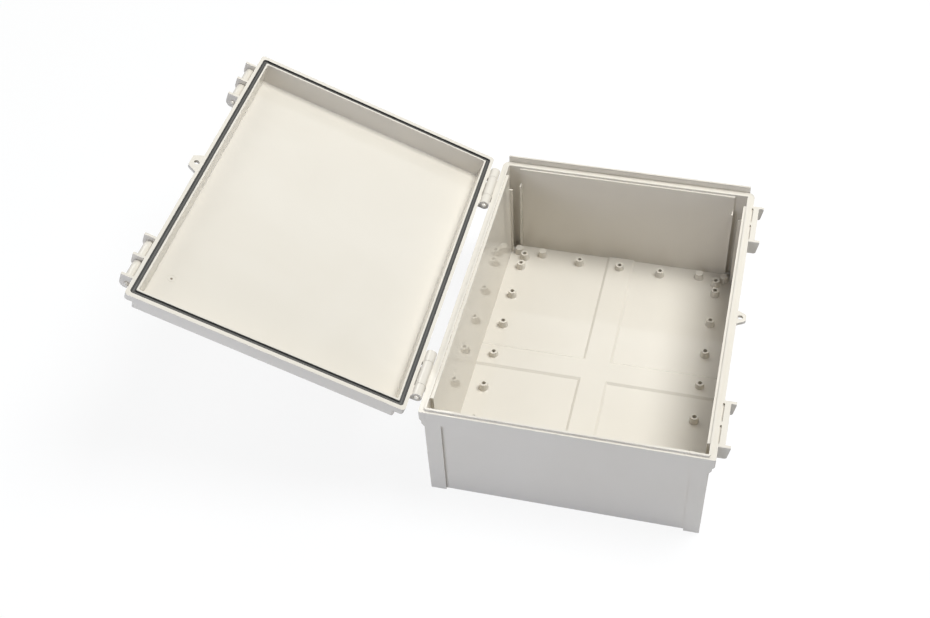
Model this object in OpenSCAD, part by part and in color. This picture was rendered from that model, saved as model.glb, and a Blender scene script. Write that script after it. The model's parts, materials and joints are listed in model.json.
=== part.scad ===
// Hinged wall enclosure in moulded polycarbonate: an open-topped base, a lid that
// swings on two pinned hinges, and two latch clips that hook under keepers on the base.
// Origin: centre of the flat back face. +X latch side, +Y hood side, +Z out of the opening.
// The lid is drawn shut, then swung to its open stop with the clips hanging from their pins.

/* [Base] */
// Width over the two side flanges
base_w = 300; // [270:1:340]
// Length over the two end faces
base_l = 393; // [370:1:450]
// Depth from the back face to the rim plane
base_h = 127.5; // [90:0.5:170]
// How far a side flange stands out from the wall below it
flange_out = 4.8; // [4.4:0.1:5.6]
// Depth of the outer edge of a flange
flange_t = 11; // [9.5:0.5:12]
// Height of the band that runs round the walls under the rim
band_h = 18; // [18:1:26]
// Width of a corner pilaster
pilaster_w = 18; // [12:1:24]
// How far the pilasters and the band stand out from an end wall
end_recess = 2.5; // [1.5:0.1:3]
// How far the pilasters and the band stand out from a side wall
side_recess = 2; // [1.2:0.1:2.4]
// Thickness of the floor
floor_t = 3.3; // [2.8:0.1:5]
// Draft of each wall from the rim to the back
draft = 1.6; // [0.5:0.1:2]
// Radius of the upright corners
corner_r = 3; // [2:0.5:4]
// Height of the raised cross on the floor
cross_t = 2; // [1:0.1:2.6]
// Width of an arm of the cross along its top
cross_w = 28.6; // [20:0.2:40]

/* [Rim and gasket] */
// Width of the sealing rib that stands on the base rim
rib_w = 2.2; // [2:0.1:2.5]
// Height of the sealing rib
rib_h = 2.4; // [1.8:0.1:3]
// Width of the ledge that the thicker part of a side wall makes inside the rib
ledge_w = 3.2; // [2.8:0.1:3.6]
// Gap between the rims when the lid is shut
lid_gap = 1; // [0.8:0.1:1.4]
// Width of the gasket
gasket_w = 4.8; // [4.4:0.1:5]
// Thickness of the gasket between its ridges
gasket_t = 3.2; // [2:0.1:3.6]
// Gap between the gasket and the rib when the lid is shut but not pressed
seal_gap = 0.2; // [0.1:0.05:0.4]

/* [Rain hood] */
// Length of the hood along the top end
hood_w = 288; // [200:1:290]
// Height of the hood above the rim
hood_h = 8.3; // [5:0.1:14]
// Thickness of the hood
hood_t = 1.8; // [1.4:0.1:2.6]

/* [Floor bosses] */
// Pitch of the panel bosses
boss_pitch = 50; // [40:1:60]
// Height of a boss above the floor
boss_h = 8.2; // [6:0.1:14]
// Radius of a boss at its top
boss_r = 4.6; // [4.3:0.1:5.2]
// Radius of a screw hole in a boss
screw_r = 2.3; // [1.6:0.05:2.6]
// Radius of a screw hole for a wall foot
foot_r = 2.4; // [1.8:0.05:2.6]
// Depth of a screw hole for a wall foot
foot_d = 9; // [6:0.5:9.5]

/* [Lid] */
// Depth of the lid from its rim to its outer face
lid_h = 29; // [24:0.5:60]
// Depth of the lid flange
lid_flange_t = 7.5; // [6.5:0.5:8]
// Thickness of the lid's front
lid_t = 3; // [2.4:0.1:4]
// Thickness of the lid's side walls
lid_wall_t = 4.1; // [3:0.1:4.4]
// Radius of the lid's outer corners
lid_corner_r = 4; // [3:0.5:6]
// Angle from shut to the open stop
lid_open = 158; // [150:1:164]

/* [Hinges] */
// Distance of the middle of each hinge, latch and keeper from the nearer end face
clip_inset = 47.9; // [46.6:0.1:86]
// Distance of the hinge axis from the edge of the side flange
hinge_out = 6.2; // [6.1:0.1:7]
// Radius of a hinge knuckle
knuckle_r = 5.7; // [5.2:0.1:5.8]
// Length of a whole hinge
hinge_l = 61; // [52:1:66]
// Length of the middle knuckle
knuckle_mid = 31; // [24:1:34]
// Radius of a hinge pin
hinge_pin_r = 3; // [2.2:0.1:3.4]

/* [Latches] */
// Length over the ears that carry one clip
latch_l = 61.2; // [60.8:0.1:66]
// Thickness of an ear
ear_t = 3; // [2.4:0.1:3.2]
// Radius of an ear round its pin
ear_r = 7.5; // [7:0.1:8.5]
// Distance of the clip axis from the edge of the lid flange
clip_out = 4.9; // [4.8:0.1:5.2]
// Distance of the clip axis from the lid rim
clip_up = 11.1; // [11:0.1:12]
// Radius of the hubs of a clip
hub_r = 5.3; // [5:0.1:5.4]
// Radius of a latch pin
latch_pin_r = 3; // [2.2:0.1:3.2]
// Thickness of a clip
clip_t = 3; // [2.4:0.1:3.2]
// Length of a keeper on the base
keeper_l = 60; // [54:0.5:60]
// Height of the keeper bar
bar_h = 9; // [7:0.1:10]
// Angle that a free clip hangs at, turned back from its hooked place
clip_swing = 191; // [180:1:196]

/* [Hidden] */
$fn = 64;

shell_colour = [0.86, 0.85, 0.80];
gasket_colour = [0.20, 0.21, 0.20];
bite = 0.5;                                // overlap of fused shapes
seat_fit = 0.02;                           // radial clearance of a pin that stays put
run_fit = 0.08;                            // radial clearance of what turns on a pin
side_gap = 0.4;                            // gap beside a turning knuckle or hub
clear = 0.3;                               // gap between a clip and its keeper

// base
rim_z = base_h;
slope = draft / base_h;
wall_x = base_w / 2 - flange_out;          // face of the side pilasters at the rim
wall_y = base_l / 2;                       // face of the end pilasters at the rim
hood_y = wall_y + 4.5;                     // edge of the flange that carries the hood
rib_out_x = wall_x - 0.8;
rib_out_y = wall_y - 2.7;
rib_in_x = rib_out_x - rib_w;
rib_in_y = rib_out_y - rib_w;
rib_r = 3;
face_x = rib_in_x - ledge_w;               // faces of the thicker walls at the rim
face_y = rib_in_y - ledge_w + 1;
panel_end = 14.2;                          // thinner wall beside each corner
panel_x = rib_in_x - panel_end;
panel_y = rib_in_y - panel_end - 0.9;
rail_t = 1.8;                              // guide rails at the ends of the thicker walls
rail_drop = 21.5;
side_rail = 4;
end_rail = 6.9;
under = flange_t + 5.5;                    // foot of the slope below the end flange

// bosses
row_x = base_w / 2 - 30;
row_y = wall_y - 26.5;
boss_root_r = boss_r + 1.2;
boss_top = floor_t + boss_h;
side_count = floor((wall_y - 46.4) / boss_pitch);
end_count = floor((base_w / 2 - 60) / boss_pitch);
corner_boss = [row_x - 1.2, row_y - 3];
foot_y = row_y + 5.5;
foot_x = [row_x + 7.5, row_x - 22.3];

// lid, shut
lid_z = rim_z + lid_gap;
lid_x = base_w / 2 - 0.2;                  // half sizes of the lid flange
lid_y = hood_y - 0.8;
groove_w = gasket_w + 0.2;
groove_out_x = rib_out_x - rib_w / 2 + groove_w / 2 + 0.3;
groove_out_y = rib_out_y - rib_w / 2 + groove_w / 2 + 0.4;
groove_r = 3;
lip_t = 1.9;
lid_in_x = groove_out_x - groove_w - lip_t;
lid_in_y = groove_out_y - groove_w - lip_t;
lid_in_h = lid_h - lid_t;
lid_draft = 1;
seal_drop = rib_h - lid_gap + seal_gap;    // from the lid rim down to the gasket's face
groove_d = seal_drop + gasket_t;
ridge_w = 0.6;
gate_d = 0.5;
ridge_h = seal_drop - 0.3;

// hinges
clip_y = wall_y - clip_inset;
hinge_x = -base_w / 2 - hinge_out;
hinge_z = rim_z + lid_gap / 2;
lid_edge = hinge_out + 0.2;                // from the axis to the edge of the lid flange
stop_gap = 0.3;
nub_h = 3.5;

// latches
pin_x = lid_x + clip_out;
pin_z = lid_z + clip_up;
ear_out = ear_r + 0.1;
plate_out = hub_r;                         // outer face of a clip, from its axis
plate_in = hub_r - clip_t;
bar_out = pin_x + plate_in - clear;        // outer face of the keeper bar
slot_w = 1.9;                              // grooves in the top of a keeper
slot_l = 24;
slot_d = 2.6;
keeper_web = 4.6;
guard_t = 3.2;
guard_h = 17.5;
hook_up = clip_up + lid_gap + bar_h + 0.4;
hook_in = 2.9;
clip_w = keeper_l - 2 * guard_t - 2;
clip_foot = hook_up + 5;

// padlock ears
padlock_out = 3.2;
padlock_r = 3;

// where a point near the hinge, given shut, goes when the lid is open
function opened(x, z) = [x * cos(lid_open) - z * sin(lid_open),
                         x * sin(lid_open) + z * cos(lid_open)];

// flat rectangle with round corners
module rounded(w, l, r) {
    square([w - 2 * r, l], center = true);
    square([w, l - 2 * r], center = true);
    for (x = [-1, 1], y = [-1, 1])
        translate([x * (w / 2 - r), y * (l / 2 - r)])
            circle(r, $fn = 32);
}

// flat ring of even width, given by the half sizes of its outer edge
module ring(x, y, wide, r) {
    difference() {
        rounded(2 * x, 2 * y, r);
        rounded(2 * (x - wide), 2 * (y - wide), max(r - wide, 0.6));
    }
}

// both edges of a leaning wall: each section is [height, how far the edge is drawn in]
function leaning_edges(half, sections) =
    concat([for (s = sections) [half - s[1], s[0]]],
           [for (i = [len(sections) - 1 : -1 : 0]) [sections[i][1] - half, sections[i][0]]]);

// block with leaning walls that is w by l before its edges are drawn in
module leaning(w, l, r, sections) {
    low = sections[0][0];
    high = sections[len(sections) - 1][0];
    intersection() {
        translate([0, 0, low])
            linear_extrude(height = high - low)
                rounded(w + 0.04, l + 0.04, r);
        along_y(0, l + 2)
            polygon(leaning_edges(w / 2, sections));
        along_x(w + 2)
            polygon(leaning_edges(l / 2, sections));
    }
}

// flat shape in X and Z, drawn out along Y about y
module along_y(y, length) {
    translate([0, y + length / 2, 0])
        rotate([90, 0, 0])
            linear_extrude(height = length)
                children();
}

// flat shape in Y and Z, drawn out along X about the middle
module along_x(length) {
    translate([-length / 2, 0, 0])
        rotate([90, 0, 90])
            linear_extrude(height = length)
                children();
}

module both_sides() {
    for (s = [0, 1])
        mirror([s, 0, 0])
            children();
}

module both_ends() {
    for (s = [0, 1])
        mirror([0, s, 0])
            children();
}

// round bar along Y about y
module bar(y, r, length) {
    translate([0, y, 0])
        rotate([90, 0, 0])
            cylinder(r = r, h = length, center = true);
}

// flat ear with round corners of radius r, half_nose either side of the middle, and a wider root
module nose(reach, half_root, half_nose, r) {
    drop = half_root - half_nose;
    turn = atan2(drop, -reach) - acos(r / norm([reach, drop]));
    inner = r - 0.06;                          // the straight edges just cut into the round ones
    for (s = [-1, 1])
        translate([0, s * half_nose])
            circle(r);
    polygon([[-reach, -half_root], [-reach, half_root],
             [inner * cos(turn), half_nose + inner * sin(turn)], [inner, half_nose],
             [inner, -half_nose], [inner * cos(turn), -half_nose - inner * sin(turn)]]);
}

// pin along Y with its domed end towards -Y
module pin(r, length) {
    dome = (r * r + nub_h * nub_h) / (2 * nub_h);
    rotate([90, 0, 0])
        rotate_extrude() {
            translate([0, -length / 2])
                polygon([[0, 0], [r - 0.5, 0], [r, 0.5], [r, length], [0, length]]);
            translate([0, length / 2 - bite])
                intersection() {
                    translate([0, bite + nub_h - dome])
                        circle(dome);
                    square([r, nub_h + 2 * bite]);
                }
        }
}

// outer body of the base: recessed walls, pilasters at the corners and a band at the rim
module base_walls() {
    foot = 0.4;
    levels = [[0, draft + foot], [foot, draft - slope * foot], [rim_z, 0]];
    leaning(2 * (wall_x - side_recess), 2 * (wall_y - end_recess), corner_r, levels);
    intersection() {
        leaning(2 * wall_x, 2 * wall_y, corner_r, levels);
        union() {
            translate([-base_w, -base_l, rim_z - band_h])
                cube([2 * base_w, 2 * base_l, band_h + 1]);
            both_sides()
                both_ends()
                    translate([wall_x - pilaster_w, wall_y - pilaster_w, -1])
                        cube([2 * pilaster_w, 2 * pilaster_w, rim_z]);
        }
    }
}

module base_hollow() {
    fillet = 1.5;
    w = 2 * (rib_in_x + slope * bite);
    l = 2 * (rib_in_y + slope * bite);
    deep = slope * (rim_z + bite - floor_t);
    leaning(w, l, 1.4, [[floor_t, deep + fillet], [floor_t + fillet, deep - slope * fillet],
                      [rim_z + bite, 0]]);
}

// thicker stretches of the four walls, with a guide rail at each end
module thick_walls() {
    back = floor_t - bite;
    deep = slope * (rim_z - back);
    both_sides() {
        along_y(0, 2 * panel_y)
            polygon([[face_x, rim_z], [rib_in_x + 0.6, rim_z],
                     [rib_in_x + 0.6 - deep, back], [face_x - deep, back]]);
        both_ends()
            translate([face_x - side_rail, panel_y - rail_t, back])
                cube([side_rail + 1, rail_t, rim_z - rail_drop - back]);
    }
    both_ends() {
        along_x(2 * panel_x)
            polygon([[face_y, rim_z], [rib_in_y + 0.6, rim_z],
                     [rib_in_y + 0.6 - deep, back], [face_y - deep, back]]);
        both_sides()
            translate([panel_x - rail_t, face_y - end_rail, back])
                cube([rail_t, end_rail + 1, rim_z - rail_drop - back]);
    }
}

module flange_outline() {
    near_r = 1.6;
    far_r = 8;
    translate([-base_w / 2, near_r - wall_y])
        square([base_w, hood_y - far_r + wall_y - near_r]);
    translate([near_r - base_w / 2, -wall_y])
        square([base_w - 2 * near_r, wall_y]);
    translate([far_r - base_w / 2, 0])
        square([base_w - 2 * far_r, hood_y]);
    both_sides() {
        translate([base_w / 2 - near_r, near_r - wall_y])
            circle(near_r);
        translate([base_w / 2 - far_r, hood_y - far_r])
            circle(far_r);
    }
}

module base_flange() {
    root = wall_x - side_recess - bite;
    intersection() {
        translate([0, 0, rim_z - band_h - 5])
            linear_extrude(height = band_h + 6)
                flange_outline();
        union() {
            both_sides()
                along_y(0, 2 * base_l)
                    polygon([[root, rim_z], [base_w / 2, rim_z],
                             [base_w / 2, rim_z - flange_t],
                             [wall_x + 2.3, rim_z - flange_t - 2.6],
                             [wall_x + 2, rim_z - band_h],
                             [wall_x - 0.3, rim_z - band_h - 3.5],
                             [root, rim_z - band_h - 3.5]]);
            along_x(2 * base_w)
                polygon([[wall_y - 1.6, rim_z], [hood_y, rim_z],
                         [hood_y, rim_z - flange_t],
                         [wall_y - 0.3, rim_z - under],
                         [wall_y - 1.6, rim_z - under]]);
        }
    }
}

module hood() {
    translate([-hood_w / 2, hood_y - bite, rim_z - flange_t])
        cube([hood_w, hood_t + bite, flange_t]);
    translate([-hood_w / 2, hood_y, rim_z - bite])
        cube([hood_w, hood_t, hood_h + bite]);
}

// raised cross with sloping edges
module floor_cross() {
    top = floor_t + cross_t;
    low = floor_t - bite;
    half = cross_w / 2;
    foot = half + 3;
    edges = [[-half, top], [half, top], [foot, floor_t], [foot, low], [-foot, low],
             [-foot, floor_t]];
    along_y(0, 2 * face_y)
        polygon(edges);
    along_x(2 * face_x)
        polygon(edges);
}

// places of the bosses for a panel; each takes a screw from the front
module panel_places() {
    for (i = [-side_count : side_count], s = [-1, 1])
        translate([s * row_x, i * boss_pitch, 0])
            children();
    for (i = [-end_count : end_count], s = [-1, 1])
        translate([i * boss_pitch, s * row_y, 0])
            children();
    both_sides()
        both_ends()
            translate([corner_boss[0], corner_boss[1], 0])
                children();
}

// places of the bosses for wall feet; each takes a screw from the back
module foot_places() {
    both_sides()
        both_ends()
            for (x = foot_x)
                translate([x, foot_y, 0])
                    children();
}

module boss() {
    translate([0, 0, floor_t - bite])
        cylinder(r1 = boss_root_r, r2 = boss_r, h = boss_h + bite);
}

// middle knuckle of a hinge with its web and the stop for the lid's edge
module base_knuckle() {
    low = -8.5;
    bar(0, knuckle_r, knuckle_mid);
    along_y(0, knuckle_mid)
        polygon([[0, -lid_gap / 2], [-knuckle_r, -lid_gap / 2], [-knuckle_r + 1, -4],
                 [0, low], [hinge_out + bite, low], [hinge_out + bite, -lid_gap / 2]]);
    along_y(0, knuckle_mid - 8)
        polygon([[0, -1.6], opened(lid_edge - stop_gap, 4.5),
                 opened(lid_edge - stop_gap, lid_flange_t + 1.5), [-4, low], [0, low]]);
}

// keeper: a grooved bar between two guards
module keeper() {
    low = rim_z - guard_h;
    guard_out = pin_x + ear_out;
    guard_r = 3;
    guard_lean = 2.4;
    foot_out = guard_out - guard_lean;
    translate([base_w / 2 - bite, -keeper_l / 2, rim_z - bar_h])
        cube([bar_out - base_w / 2 + bite, keeper_l, bar_h]);
    for (s = [-1, 1])
        along_y(s * (keeper_l - guard_t) / 2, guard_t) {
            polygon([[wall_x - 1.6, rim_z], [guard_out, rim_z], [guard_out, rim_z - 2],
                     [foot_out, low + guard_r], [foot_out - guard_r, low + guard_r],
                     [foot_out - guard_r, low], [wall_x - 1.6, low]]);
            translate([foot_out - guard_r, low + guard_r])
                circle(guard_r);
        }
}

// the two grooves in the top of a keeper
module keeper_grooves() {
    for (s = [-1, 1])
        translate([base_w / 2 - 0.4, s * (keeper_web + slot_l) / 2, rim_z - slot_d])
            linear_extrude(height = slot_d + 1) {
                square([slot_w, slot_l - slot_w], center = true);
                for (end = [-1, 1])
                    translate([0, end * (slot_l - slot_w) / 2])
                        circle(slot_w / 2, $fn = 24);
            }
}

module base_padlock_ear() {
    translate([base_w / 2 + padlock_out + 1.6, 0, rim_z - 4])
        linear_extrude(height = 3.4)
            nose(padlock_out + 1.6 + bite, 10, 1.8, 4.8);
}

module base() {
    color(shell_colour)
        difference() {
            union() {
                difference() {
                    base_walls();
                    base_hollow();
                }
                thick_walls();
                base_flange();
                hood();
                translate([0, 0, rim_z - bite])
                    linear_extrude(height = rib_h + bite)
                        ring(rib_out_x, rib_out_y, rib_w, rib_r);
                floor_cross();
                panel_places()
                    boss();
                foot_places()
                    boss();
                for (s = [-1, 1]) {
                    translate([hinge_x, s * clip_y, hinge_z])
                        base_knuckle();
                    translate([0, s * clip_y, 0])
                        keeper();
                }
                base_padlock_ear();
            }
            panel_places()
                translate([0, 0, floor_t - 0.3])
                    cylinder(r = screw_r, h = boss_h + 1);
            foot_places()
                translate([0, 0, -1])
                    cylinder(r = foot_r, h = foot_d + 1);
            for (s = [-1, 1]) {
                translate([hinge_x, s * clip_y, hinge_z])
                    bar(0, hinge_pin_r + seat_fit, knuckle_mid + 2);
                translate([0, s * clip_y, 0])
                    keeper_grooves();
            }
            translate([base_w / 2 + padlock_out, 0, rim_z - 6])
                cylinder(r = padlock_r, h = 8);
        }
}

// turns what is drawn with the lid shut to the open stop
module swung() {
    translate([hinge_x, 0, hinge_z])
        rotate([0, -lid_open, 0])
            translate([-hinge_x, 0, -hinge_z])
                children();
}

module lid_body() {
    lean = lid_draft / lid_h;
    edge = 3;
    side_h = lid_h - edge;
    linear_extrude(height = lid_flange_t)
        rounded(2 * lid_x, 2 * lid_y, lid_corner_r);
    leaning(2 * (lid_in_x + lid_wall_t), 2 * (lid_in_y + lid_wall_t), 7,
            [[1, 0], [side_h, lean * side_h],
             [side_h + edge * sin(30), lean * side_h + edge * (1 - cos(30))],
             [side_h + edge * sin(60), lean * side_h + edge * (1 - cos(60))],
             [lid_h, lean * side_h + edge]]);
}

// crater and ring that the moulding gate leaves inside the lid
module gate_mark() {
    cylinder(r = 1.3, h = 2 * gate_d, center = true, $fn = 32);
    difference() {
        cylinder(r = 4.7, h = gate_d, center = true);
        cylinder(r = 3.9, h = 2 * gate_d, center = true);
    }
}

module lid_hollow() {
    lean = lid_draft / lid_h;
    fillet = 0.6;
    leaning(2 * (lid_in_x + lean * bite), 2 * (lid_in_y + lean * bite), 2,
            [[-bite, 0], [lid_in_h - fillet, lean * lid_in_h],
             [lid_in_h, lean * lid_in_h + fillet]]);
}

// the two outer knuckles of a hinge, drawn about its axis with the lid shut
module lid_knuckles() {
    long = (hinge_l - knuckle_mid) / 2 - side_gap;
    for (s = [-1, 1]) {
        y = s * (hinge_l - long) / 2;
        bar(y, knuckle_r, long);
        along_y(y, long)
            translate([0, lid_gap / 2])
                square([lid_edge + bite, knuckle_r - lid_gap / 2]);
    }
}

// the three ears of a latch, in X and Z from the lid rim
module latch_ears() {
    root = lid_in_x + lid_wall_t - 1.6;
    for (s = [-1, 0, 1])
        along_y(s * (latch_l - ear_t) / 2, ear_t) {
            translate([root, 0])
                square([pin_x + ear_out - root, clip_up]);
            translate([root, clip_up - bite])
                square([pin_x - root, ear_r + bite]);
            translate([pin_x, clip_up])
                circle(ear_r);
            translate([pin_x, clip_up - bite])
                square([ear_r - 0.05, bite + 0.4]);
        }
}

module lid() {
    color(shell_colour)
        swung() {
            difference() {
                union() {
                    translate([0, 0, lid_z]) {
                        lid_body();
                        for (s = [-1, 1])
                            translate([0, s * clip_y, 0])
                                latch_ears();
                        translate([lid_x + 7, 0, 0])
                            linear_extrude(height = 4)
                                nose(7 + bite, 13.9, 5.6, 3.4);
                    }
                    for (s = [-1, 1])
                        translate([hinge_x, s * clip_y, hinge_z])
                            lid_knuckles();
                }
                translate([0, 0, lid_z]) {
                    lid_hollow();
                    translate([lid_in_x - 19, 48.6 - lid_in_y, lid_in_h])
                        gate_mark();
                    translate([0, 0, -1])
                        linear_extrude(height = groove_d + 1)
                            ring(groove_out_x, groove_out_y, groove_w, groove_r);
                    translate([base_w / 2 + padlock_out, 0, -1])
                        cylinder(r = padlock_r, h = 7);
                }
                for (s = [-1, 1]) {
                    translate([hinge_x, s * clip_y, hinge_z])
                        bar(0, hinge_pin_r + run_fit, hinge_l + 2);
                    translate([pin_x, s * clip_y, pin_z])
                        bar(0, latch_pin_r + seat_fit, latch_l + 2);
                }
            }
        }
}

module gasket() {
    x = groove_out_x - 0.1;
    y = groove_out_y - 0.1;
    r = groove_r - 0.1;
    inset = gasket_w - ridge_w;
    color(gasket_colour)
        swung()
            translate([0, 0, lid_z]) {
                translate([0, 0, seal_drop])
                    linear_extrude(height = gasket_t - 0.02)
                        ring(x, y, gasket_w, r);
                translate([0, 0, seal_drop - ridge_h])
                    linear_extrude(height = ridge_h + bite) {
                        ring(x, y, ridge_w, r);
                        ring(x - inset, y - inset, ridge_w, 0.6 + ridge_w);
                    }
            }
}

module hinge_pin(s) {
    color(shell_colour)
        translate([hinge_x, s * clip_y, hinge_z])
            pin(hinge_pin_r, hinge_l);
}

module latch_pin(s) {
    color(shell_colour)
        swung()
            translate([pin_x, s * clip_y, pin_z])
                pin(latch_pin_r, latch_l);
}

// a clip in its hooked place, drawn about its pin
module clip() {
    hub_in = ear_t / 2 + side_gap;
    hub_out = latch_l / 2 - ear_t - side_gap;
    relief = norm([clip_up, ear_out]) + 0.5;   // clears the middle ear as the clip turns
    difference() {
        union() {
            for (s = [-1, 1])
                bar(s * (hub_in + hub_out) / 2, hub_r, hub_out - hub_in);
            along_y(0, clip_w) {
                translate([plate_in, -clip_foot])
                    square([clip_t, clip_foot]);
                polygon([[plate_in + bite, -hook_up], [-hook_in, -hook_up],
                         [-hook_in, -hook_up - 1], [plate_in + bite, -hook_up - 4.4]]);
                polygon([[plate_in, -clip_foot + 2.4], [plate_out, -clip_foot + 4],
                         [plate_out + 1.8, -clip_foot - 1.6],
                         [plate_out - 0.6, -clip_foot - 2.4], [plate_in, -clip_foot]]);
            }
        }
        bar(0, latch_pin_r + run_fit, latch_l);
        translate([0, -hub_in, -relief])
            cube([2 * hub_r, 2 * hub_in, relief + 2 * hub_r]);
    }
}

module latch(s) {
    color(shell_colour)
        swung()
            translate([pin_x, s * clip_y, pin_z])
                rotate([0, -clip_swing, 0])
                    clip();
}

module hinge_pin_far() {
    hinge_pin(1);
}

module hinge_pin_near() {
    hinge_pin(-1);
}

module latch_far() {
    latch(1);
}

module latch_near() {
    latch(-1);
}

module latch_pin_far() {
    latch_pin(1);
}

module latch_pin_near() {
    latch_pin(-1);
}

base();
lid();
gasket();
hinge_pin_far();
hinge_pin_near();
latch_far();
latch_near();
latch_pin_far();
latch_pin_near();
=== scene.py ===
"""Finishes a hinged wall enclosure moulded in polycarbonate and sets it on a pale studio floor."""

import json
import math

import bpy
from bpy.props import FloatProperty, FloatVectorProperty, PointerProperty
from bpy.types import Operator, Panel, PropertyGroup
from mathutils import Euler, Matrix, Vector


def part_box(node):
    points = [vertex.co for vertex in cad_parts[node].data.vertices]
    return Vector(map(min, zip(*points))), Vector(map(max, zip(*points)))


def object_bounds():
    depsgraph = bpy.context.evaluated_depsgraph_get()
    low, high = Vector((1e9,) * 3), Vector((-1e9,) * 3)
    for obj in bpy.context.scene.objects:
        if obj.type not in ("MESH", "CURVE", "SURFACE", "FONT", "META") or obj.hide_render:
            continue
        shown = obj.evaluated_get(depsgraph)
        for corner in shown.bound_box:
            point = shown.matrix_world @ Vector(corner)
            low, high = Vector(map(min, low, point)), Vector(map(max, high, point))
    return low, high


bl_info = {
    "name": "Hinged wall enclosure",
    "version": (1, 0, 0),
    "blender": (4, 5, 0),
    "location": "View3D > Sidebar > Enclosure",
    "description": "Finishes a moulded wall enclosure with a hinged lid and sets the studio round it",
    "category": "Object",
}

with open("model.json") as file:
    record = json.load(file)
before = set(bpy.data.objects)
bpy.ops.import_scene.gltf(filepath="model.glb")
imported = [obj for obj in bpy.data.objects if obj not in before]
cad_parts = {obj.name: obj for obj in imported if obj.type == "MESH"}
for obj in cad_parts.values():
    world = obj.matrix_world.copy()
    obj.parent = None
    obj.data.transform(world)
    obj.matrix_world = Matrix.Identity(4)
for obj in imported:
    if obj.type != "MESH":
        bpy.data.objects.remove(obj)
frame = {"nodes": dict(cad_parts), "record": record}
cad_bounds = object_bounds()
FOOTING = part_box("base")[0][2]             # height of the surface that the back rests on
HINGE = next(j for j in frame["record"]["behaviour"]["joints"] if j["name"] == "lid_hinge")
SWING = math.radians(HINGE["range_deg"][1])  # from shut to the open stop, where the lid rests
ALONG_LID = Vector((math.cos(SWING), 0, math.sin(SWING)))   # from the hinge to the latches
OUT_OF_LID = Vector((-math.sin(SWING), 0, math.cos(SWING)))  # from the lid's rim to its front
PLASTIC_IOR = 1.58                         # polycarbonate bends light this much
RUBBER_IOR = 1.5
DUSTY = 0.35                               # share of the dust's colour on a speck of dust
CLOUDY_ROUGHNESS = 0.02                    # how much rougher the clouds make a moulded face


# ---------------------------------------------------------------- settings

class ShellFinish(PropertyGroup):
    """Sizes and colours of the moulded plastic."""

    colour: FloatVectorProperty(
        name="Plastic", description="Colour of the moulded polycarbonate",
        subtype="COLOR", min=0, max=1, default=(0.688, 0.647, 0.577))
    flow_colour: FloatVectorProperty(
        name="Flow marks", description="Colour of the faint clouds that the melt leaves as it flows",
        subtype="COLOR", min=0, max=1, default=(0.670, 0.627, 0.554))
    roughness: FloatProperty(
        name="Roughness", description="Roughness of the polished mould faces",
        min=0, max=1, default=0.02)
    grain: FloatProperty(
        name="Grain", description="Size of the fine ripple in the skin",
        unit="LENGTH", min=0.0002, max=0.02, default=0.0012)
    ripple: FloatProperty(
        name="Ripple", description="Height of the fine ripple in the skin",
        unit="LENGTH", min=0, max=0.001, default=0.0000015)
    pit_place: FloatVectorProperty(
        name="Gate pit", description="From the hinge to the gate pit: along the lid, across it, deep",
        subtype="TRANSLATION", unit="LENGTH", default=(0.2764, -0.1401, 0.0265))
    pit_size: FloatProperty(
        name="Pit size", description="Radius of the torn pit that the gate leaves",
        unit="LENGTH", min=0, max=0.01, default=0.0013)
    pit_colour: FloatVectorProperty(
        name="Pit", description="Colour of the torn plastic in the gate pit",
        subtype="COLOR", min=0, max=1, default=(0.20, 0.15, 0.10))
    dust_colour: FloatVectorProperty(
        name="Dust", description="Colour of the dust on faces that point up",
        subtype="COLOR", min=0, max=1, default=(0.62, 0.60, 0.56))


class GasketFinish(PropertyGroup):
    """Colours, painted highlight, painted shade and grain of the sealing strip."""

    colour: FloatVectorProperty(
        name="Rubber", description="Colour of the sealing strip",
        subtype="COLOR", min=0, max=1, default=(0.030, 0.029, 0.026))
    # Painted highlight: the crest colour is a paler line painted along the middle of the strip for
    # light caught on its crest. It also tints the strip's random paler patches.
    crest_highlight_colour: FloatVectorProperty(
        name="Crest", description="Colour of the highlit line along the middle of the strip",
        subtype="COLOR", min=0, max=1, default=(0.115, 0.112, 0.104))
    # Painted shade: the edge colour is darkness painted along the two edges of the strip, where shade
    # falls beside it.
    edge_shade_colour: FloatVectorProperty(
        name="Edges", description="Colour of the two dark edges of the strip",
        subtype="COLOR", min=0, max=1, default=(0.006, 0.006, 0.005))
    width: FloatProperty(
        name="Width", description="Width of the strip", unit="LENGTH",
        min=0.001, max=0.02, default=0.0048)
    grain: FloatProperty(
        name="Grain", description="Size of the cells in the foam's skin",
        unit="LENGTH", min=0.0001, max=0.01, default=0.0007)
    pit_depth: FloatProperty(
        name="Cell depth", description="Depth of the cells in the foam's skin",
        unit="LENGTH", min=0, max=0.001, default=0.0001)


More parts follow.
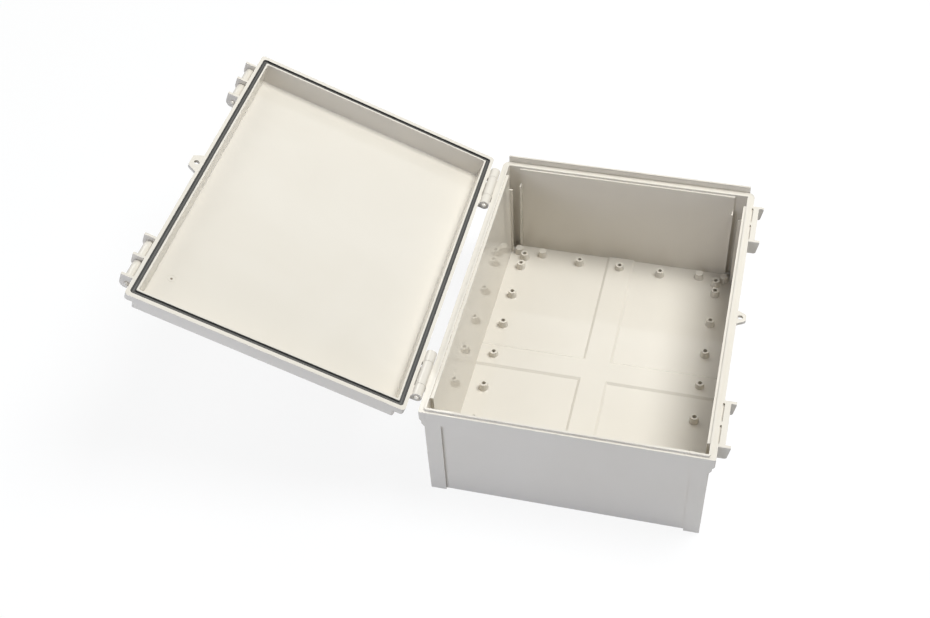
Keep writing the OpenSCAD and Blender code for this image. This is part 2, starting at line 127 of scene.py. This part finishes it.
class StudioSettings(PropertyGroup):
    """Floor, lamps and camera."""

    floor_size: FloatProperty(
        name="Floor", description="Width of the floor", unit="LENGTH", min=2, max=60, default=24)
    floor_colour: FloatVectorProperty(
        name="Floor colour", description="Colour of the floor as it is seen",
        subtype="COLOR", min=0, max=1, default=(0.94, 0.95, 0.96))
    bounce_colour: FloatVectorProperty(
        name="Floor bounce", description="Colour of the light that the floor throws back",
        subtype="COLOR", min=0, max=1, default=(0.5, 0.5, 0.5))
    shadow: FloatProperty(
        name="Shadow", description="Share of the floor's look that the object can shade",
        subtype="FACTOR", min=0, max=1, default=0.11)
    sky: FloatProperty(
        name="Surround", description="Strength of the pale surround", min=0, max=2, default=0.10)
    main_power: FloatProperty(
        name="Main lamp", description="Power of the lamp high on the latch side",
        unit="POWER", min=0, max=1000, default=63)
    front_power: FloatProperty(
        name="Front lamp", description="Power of the wide cool lamp low in front",
        unit="POWER", min=0, max=1000, default=25)
    side_power: FloatProperty(
        name="Side lamp", description="Power of the small cool lamp low on the latch side",
        unit="POWER", min=0, max=1000, default=6.5)
    back_power: FloatProperty(
        name="Back lamp", description="Power of the lamp behind the lid",
        unit="POWER", min=0, max=1000, default=14)
    camera_place: FloatVectorProperty(
        name="Camera", description="Where the camera stands",
        subtype="TRANSLATION", unit="LENGTH", default=(0.1457, -1.0130, 1.1796))
    camera_turn: FloatVectorProperty(
        name="Camera turn", description="How the camera is turned", subtype="EULER",
        default=(math.radians(43.805), math.radians(1.363), math.radians(12.942)))
    lens: FloatProperty(
        name="Lens", description="Focal length of the camera",
        unit="CAMERA", min=10, max=200, default=52.16)


# ---------------------------------------------------------------- shared effects

def socket(group, name, way, value=None):
    """Adds a number's socket to a node group."""
    made = group.interface.new_socket(name=name, socket_type="NodeSocketFloat", in_out=way)
    if value is not None:
        made.default_value = value


def place(tree, kind, **values):
    """Adds a node and sets what is named: attributes in lower case, inputs by their label."""
    node = tree.nodes.new(kind)
    for name, value in values.items():
        if hasattr(node, name):
            setattr(node, name, value)
        else:
            node.inputs[name.replace("_", " ")].default_value = value
    return node


def math_step(tree, operation, *values):
    """Result of one sum on sockets and numbers."""
    step = place(tree, "ShaderNodeMath", operation=operation)
    for value, end in zip(values, step.inputs):
        if isinstance(value, bpy.types.NodeSocket):
            tree.links.new(value, end)
        else:
            end.default_value = value
    return step.outputs["Value"]


def moulded_skin_group():
    """Clouds of the melt, the fine ripple of the skin and settled dust, as masks and a height."""
    group = bpy.data.node_groups.new("moulded_skin", "ShaderNodeTree")
    socket(group, "Cloud Scale", "INPUT", 7.0)
    socket(group, "Grain Scale", "INPUT", 800.0)
    for name in ("Clouds", "Ripple", "Dust"):
        socket(group, name, "OUTPUT")
    ends = place(group, "NodeGroupInput")
    out = place(group, "NodeGroupOutput")
    where = place(group, "ShaderNodeTexCoord")
    link = group.links.new

    clouds = place(group, "ShaderNodeTexNoise", Detail=3.0, Roughness=0.55, Distortion=0.6)
    link(where.outputs["Object"], clouds.inputs["Vector"])
    link(ends.outputs["Cloud Scale"], clouds.inputs["Scale"])
    soft = place(group, "ShaderNodeMapRange", From_Min=0.36, From_Max=0.66)
    link(clouds.outputs["Fac"], soft.inputs["Value"])
    link(soft.outputs["Result"], out.inputs["Clouds"])

    grain = place(group, "ShaderNodeTexNoise", Detail=2.0, Roughness=0.5)
    link(where.outputs["Object"], grain.inputs["Vector"])
    link(ends.outputs["Grain Scale"], grain.inputs["Scale"])
    link(grain.outputs["Fac"], out.inputs["Ripple"])

    specks = place(group, "ShaderNodeTexVoronoi", Scale=260.0)
    link(where.outputs["Object"], specks.inputs["Vector"])
    small = place(group, "ShaderNodeMapRange", From_Min=0.11, From_Max=0.05)
    link(specks.outputs["Distance"], small.inputs["Value"])
    few = place(group, "ShaderNodeTexNoise", Scale=34.0, Detail=1.0)
    link(where.outputs["Object"], few.inputs["Vector"])
    chosen = place(group, "ShaderNodeMapRange", From_Min=0.56, From_Max=0.70)
    link(few.outputs["Fac"], chosen.inputs["Value"])
    both = math_step(group, "MULTIPLY", small.outputs["Result"], chosen.outputs["Result"])
    link(both, out.inputs["Dust"])
    return group


def skin_effect(tree, cloud_scale, grain):
    """Places the shared skin in a material, with clouds and grain of the material's own size."""
    group = bpy.data.node_groups.get("moulded_skin") or moulded_skin_group()
    node = place(tree, "ShaderNodeGroup", node_tree=group)
    node.inputs["Cloud Scale"].default_value = cloud_scale
    node.inputs["Grain Scale"].default_value = 1.0 / grain
    return node


def mixed(tree, mask, low, high):
    """Colour that goes from low to high with a mask; low may be a colour or a socket."""
    mix = place(tree, "ShaderNodeMix", data_type="RGBA")
    tree.links.new(mask, mix.inputs["Factor"])
    colours = [end for end in mix.inputs if end.type == "RGBA"]
    for value, end in zip((low, high), colours):
        if isinstance(value, bpy.types.NodeSocket):
            tree.links.new(value, end)
        else:
            end.default_value = (*value, 1.0)
    return next(end for end in mix.outputs if end.type == "RGBA")


def spread(tree, mask, low, high):
    """Value that goes from low to high with a mask."""
    node = place(tree, "ShaderNodeMapRange", To_Min=low, To_Max=high)
    tree.links.new(mask, node.inputs["Value"])
    return node.outputs["Result"]


def bumped(tree, height, distance):
    """Normal of a surface with a fine relief."""
    bump = place(tree, "ShaderNodeBump", Strength=1.0, Distance=distance)
    tree.links.new(height, bump.inputs["Height"])
    return bump.outputs["Normal"]


# ---------------------------------------------------------------- materials

def new_surface(name):
    """Empty material with its Principled shader."""
    material = bpy.data.materials.new(name)
    material.use_nodes = True
    tree = material.node_tree
    return material, tree, tree.nodes["Principled BSDF"]


def plastic(name, finish, tint=1.0, rougher=0.0):
    """Moulded polycarbonate: glossy, a little clouded, with the faint ripple of the mould."""
    material, tree, shader = new_surface(name)
    skin = skin_effect(tree, cloud_scale=6.5, grain=finish.grain)
    clear, cloudy = (tuple(tint * share for share in colour)
                     for colour in (finish.colour, finish.flow_colour))
    clouded = mixed(tree, skin.outputs["Clouds"], clear, cloudy)
    dust = spread(tree, skin.outputs["Dust"], 0.0, DUSTY)
    tree.links.new(mixed(tree, dust, clouded, finish.dust_colour), shader.inputs["Base Color"])
    low = finish.roughness + rougher
    gloss = spread(tree, skin.outputs["Clouds"], low, low + CLOUDY_ROUGHNESS)
    tree.links.new(gloss, shader.inputs["Roughness"])
    tree.links.new(bumped(tree, skin.outputs["Ripple"], finish.ripple), shader.inputs["Normal"])
    shader.inputs["IOR"].default_value = PLASTIC_IOR
    return material


def torn_pit(material, finish):
    """Darkens the pit that the gate leaves inside the lid."""
    tree = material.node_tree
    shader = tree.nodes["Principled BSDF"]
    where = place(tree, "ShaderNodeTexCoord")
    far, across, deep = finish.pit_place
    pit = Vector(HINGE["pos_m"]) + far * ALONG_LID + deep * OUT_OF_LID + Vector((0, across, 0))
    away = place(tree, "ShaderNodeVectorMath", operation="DISTANCE")
    tree.links.new(where.outputs["Object"], away.inputs[0])
    away.inputs[1].default_value = pit
    outer, inner = 1.15 * finish.pit_size, 0.8 * finish.pit_size  # the edge fades between them
    near = place(tree, "ShaderNodeMapRange", From_Min=outer, From_Max=inner)
    tree.links.new(away.outputs["Value"], near.inputs["Value"])
    clean = shader.inputs["Base Color"].links[0].from_socket
    tree.links.new(mixed(tree, near.outputs["Result"], clean, finish.pit_colour),
                   shader.inputs["Base Color"])
    return material


def across_strip(tree, width):
    """Nought on the middle line of the strip round the lid's rim, and one at its edges."""
    spots = [v.co for v in frame["nodes"]["gasket"].data.vertices]
    along = [spot.dot(ALONG_LID) for spot in spots]
    middle = (min(along) + max(along)) / 2
    where = place(tree, "ShaderNodeTexCoord")
    run = place(tree, "ShaderNodeVectorMath", operation="DOT_PRODUCT")
    tree.links.new(where.outputs["Object"], run.inputs[0])
    run.inputs[1].default_value = ALONG_LID
    split = place(tree, "ShaderNodeSeparateXYZ")
    tree.links.new(where.outputs["Object"], split.inputs[0])
    reach = []
    for value, centre, half in (
            (run.outputs["Value"], middle, max(along) - middle - width / 2),
            (split.outputs["Y"], 0.0, max(spot.y for spot in spots) - width / 2)):
        off = math_step(tree, "SUBTRACT", value, centre)
        reach.append(math_step(tree, "SUBTRACT", math_step(tree, "ABSOLUTE", off), half))
    off_line = math_step(tree, "ABSOLUTE", math_step(tree, "MAXIMUM", *reach))
    return math_step(tree, "DIVIDE", off_line, width / 2)


def ramp(tree, value, stops):
    """Colour that follows a value through the stops (place, colour)."""
    node = tree.nodes.new("ShaderNodeValToRGB")
    marks = node.color_ramp.elements
    while len(marks) < len(stops):
        marks.new(0.5)
    for mark, (position, colour) in zip(marks, stops):
        mark.position = position
        mark.color = (*colour, 1.0)
    tree.links.new(value, node.inputs["Fac"])
    return node.outputs["Color"]


def rubber(name, finish):
    """Foam rubber with a skin: dull and finely pitted, with a painted highlight along its crest and
    painted shade at its edges.
    """
    material, tree, shader = new_surface(name)
    skin = skin_effect(tree, cloud_scale=60.0, grain=finish.grain)
    crest, flank, edge = 0.2, 0.6, 0.78    # from the middle line, as shares of half the width
    # The ramp paints a highlight on the middle line and paints shade on the two edges.
    strip = ramp(tree, across_strip(tree, finish.width),
                 ((0.0, finish.crest_highlight_colour), (crest, finish.colour), (flank, finish.colour),
                  (edge, finish.edge_shade_colour), (1.0, finish.edge_shade_colour)))
    # Random cloud patches lean towards the painted highlight's paler colour.
    faded = spread(tree, skin.outputs["Clouds"], 0.0, 0.25)
    tree.links.new(mixed(tree, faded, strip, finish.crest_highlight_colour), shader.inputs["Base Color"])
    tree.links.new(spread(tree, skin.outputs["Clouds"], 0.55, 0.75), shader.inputs["Roughness"])
    tree.links.new(bumped(tree, skin.outputs["Ripple"], finish.pit_depth), shader.inputs["Normal"])
    shader.inputs["IOR"].default_value = RUBBER_IOR
    return material


def seen_directly(tree):
    """One for what the camera sees, also in gloss and through glass, and nought for lighting."""
    path = tree.nodes.new("ShaderNodeLightPath")
    opaque = math_step(tree, "MAXIMUM", path.outputs["Is Camera Ray"], path.outputs["Is Glossy Ray"])
    return math_step(tree, "MAXIMUM", opaque, path.outputs["Is Transmission Ray"])


def white_glow(tree, kind):
    """Plain white at a strength of one."""
    glow = tree.nodes.new(kind)
    glow.inputs["Color"].default_value = (1, 1, 1, 1)
    glow.inputs["Strength"].default_value = 1.0
    return glow.outputs[0]


def floor_paint(studio):
    """Pale floor that shows white and still takes the object's shadow."""
    material, tree, shader = new_surface("studio_floor")
    seen = seen_directly(tree)
    tree.links.new(mixed(tree, seen, studio.bounce_colour, studio.floor_colour),
                   shader.inputs["Base Color"])
    shader.inputs["Roughness"].default_value = 0.9
    shader.inputs["Specular IOR Level"].default_value = 0.0
    keep = place(tree, "ShaderNodeMixShader")
    keep.inputs["Fac"].default_value = studio.shadow
    tree.links.new(white_glow(tree, "ShaderNodeEmission"), keep.inputs[1])
    tree.links.new(shader.outputs[0], keep.inputs[2])
    choose = place(tree, "ShaderNodeMixShader")
    tree.links.new(seen, choose.inputs["Fac"])
    tree.links.new(shader.outputs[0], choose.inputs[1])
    tree.links.new(keep.outputs[0], choose.inputs[2])
    tree.links.new(choose.outputs[0], tree.nodes["Material Output"].inputs["Surface"])
    return material


def dress(nodes, material):
    """Gives carried-over pieces their finish."""
    for name in nodes:
        for slot in frame["nodes"][name].material_slots:
            slot.material = material


# ---------------------------------------------------------------- pieces

class ENCLOSURE_OT_mouldings(Operator):
    """Finish the base and the lid in glossy moulded polycarbonate"""

    bl_idname = "enclosure.mouldings"
    bl_label = "Base and lid"

    def execute(self, context):
        finish = context.scene.enclosure_shell
        dress(["base"], plastic("polycarbonate", finish))
        dress(["lid"], torn_pit(plastic("lid_polycarbonate", finish), finish))
        return {"FINISHED"}


class ENCLOSURE_OT_gasket(Operator):
    """Finish the sealing strip in dark foam rubber"""

    bl_idname = "enclosure.gasket"
    bl_label = "Gasket"

    def execute(self, context):
        dress(["gasket"], rubber("gasket_foam", context.scene.enclosure_gasket))
        return {"FINISHED"}


class ENCLOSURE_OT_clips(Operator):
    """Finish the two latch clips"""

    bl_idname = "enclosure.clips"
    bl_label = "Latch clips"

    def execute(self, context):
        finish = context.scene.enclosure_shell
        dress(["latch_far", "latch_near"], plastic("clip_plastic", finish, tint=0.98, rougher=0.06))
        return {"FINISHED"}


class ENCLOSURE_OT_pins(Operator):
    """Finish the hinge pins and latch pins"""

    bl_idname = "enclosure.pins"
    bl_label = "Pins"

    def execute(self, context):
        finish = context.scene.enclosure_shell
        pins = ["hinge_pin_far", "hinge_pin_near", "latch_pin_far", "latch_pin_near"]
        dress(pins, plastic("pin_plastic", finish, tint=0.96, rougher=0.10))
        return {"FINISHED"}


# ---------------------------------------------------------------- studio

def add_lamp(name, aim, away, width, power, colour):
    """Square soft lamp that looks at a point from the given distance along each axis."""
    lamp = bpy.data.lights.new(name, "AREA")
    lamp.shape = "SQUARE"
    lamp.size = width
    lamp.energy = power
    lamp.color = colour
    made = bpy.data.objects.new(name, lamp)
    made.location = aim + away
    made.rotation_euler = (aim - made.location).to_track_quat("-Z", "Y").to_euler()
    bpy.context.collection.objects.link(made)


class ENCLOSURE_OT_studio(Operator):
    """Set the floor, the lamps, the surround and the camera"""

    bl_idname = "enclosure.studio"
    bl_label = "Studio"

    def execute(self, context):
        studio = context.scene.enclosure_studio
        half = studio.floor_size / 2
        mesh = bpy.data.meshes.new("studio_floor")
        corners = [(-half, -half, FOOTING), (half, -half, FOOTING),
                   (half, half, FOOTING), (-half, half, FOOTING)]
        mesh.from_pydata(corners, [], [(0, 1, 2, 3)])
        mesh.materials.append(floor_paint(studio))
        floor = bpy.data.objects.new("studio_floor", mesh)
        context.collection.objects.link(floor)

        low, high = cad_bounds
        middle = (Vector(low) + Vector(high)) / 2
        cool = (0.80, 0.85, 1.0)
        add_lamp("main_lamp", middle, away=Vector((0.94, 0.37, 2.18)), width=1.1,
                 power=studio.main_power, colour=(0.98, 1.0, 1.0))
        add_lamp("front_lamp", middle, away=Vector((-1.0, -1.7, 0.2)), width=1.4,
                 power=studio.front_power, colour=cool)
        add_lamp("side_lamp", middle, away=Vector((0.95, -1.75, 0.0)), width=0.6,
                 power=studio.side_power, colour=cool)
        add_lamp("back_lamp", middle, away=Vector((-1.09, 1.09, 1.84)), width=1.3,
                 power=studio.back_power, colour=(1.0, 1.0, 0.96))

        world = bpy.data.worlds.new("surround")
        context.scene.world = world
        world.use_nodes = True
        tree = world.node_tree
        surround = tree.nodes["Background"]
        surround.inputs["Color"].default_value = (0.95, 0.975, 1.0, 1)
        surround.inputs["Strength"].default_value = studio.sky
        choose = place(tree, "ShaderNodeMixShader")
        tree.links.new(seen_directly(tree), choose.inputs["Fac"])
        tree.links.new(surround.outputs[0], choose.inputs[1])
        tree.links.new(white_glow(tree, "ShaderNodeBackground"), choose.inputs[2])
        tree.links.new(choose.outputs[0], tree.nodes["World Output"].inputs["Surface"])

        camera = bpy.data.cameras.new("studio_camera")
        camera.lens = studio.lens
        camera.sensor_width = 36.0
        camera.shift_x = -0.0348
        camera.shift_y = -0.0045
        camera.clip_end = 60
        holder = bpy.data.objects.new("studio_camera", camera)
        holder.location = studio.camera_place
        holder.rotation_euler = Euler(studio.camera_turn)
        context.collection.objects.link(holder)
        context.scene.camera = holder

        context.scene.view_settings.view_transform = "Standard"
        return {"FINISHED"}


class ENCLOSURE_PT_sidebar(Panel):
    """Lists the enclosure's settings and steps"""

    bl_idname = "ENCLOSURE_PT_sidebar"
    bl_label = "Enclosure"
    bl_space_type = "VIEW_3D"
    bl_region_type = "UI"
    bl_category = "Enclosure"

    def draw(self, context):
        scene = context.scene
        for settings in (scene.enclosure_shell, scene.enclosure_gasket, scene.enclosure_studio):
            box = self.layout.box()
            for name in settings.__annotations__:
                box.prop(settings, name)
        for step in STEPS:
            self.layout.operator(step.bl_idname)


STEPS = (ENCLOSURE_OT_mouldings, ENCLOSURE_OT_gasket, ENCLOSURE_OT_clips,
         ENCLOSURE_OT_pins, ENCLOSURE_OT_studio)
CLASSES = (ShellFinish, GasketFinish, StudioSettings, *STEPS, ENCLOSURE_PT_sidebar)


def register():
    """Registers the classes and hangs the settings on the scene."""
    for made in CLASSES:
        bpy.utils.register_class(made)
    bpy.types.Scene.enclosure_shell = PointerProperty(type=ShellFinish)
    bpy.types.Scene.enclosure_gasket = PointerProperty(type=GasketFinish)
    bpy.types.Scene.enclosure_studio = PointerProperty(type=StudioSettings)


def unregister():
    """Takes back what register made."""
    del bpy.types.Scene.enclosure_studio
    del bpy.types.Scene.enclosure_gasket
    del bpy.types.Scene.enclosure_shell
    for made in reversed(CLASSES):
        bpy.utils.unregister_class(made)


def main():
    """Runs every step in order."""
    register()
    bpy.ops.enclosure.mouldings()
    bpy.ops.enclosure.gasket()
    bpy.ops.enclosure.clips()
    bpy.ops.enclosure.pins()
    bpy.ops.enclosure.studio()


if __name__ == "__main__":
    main()
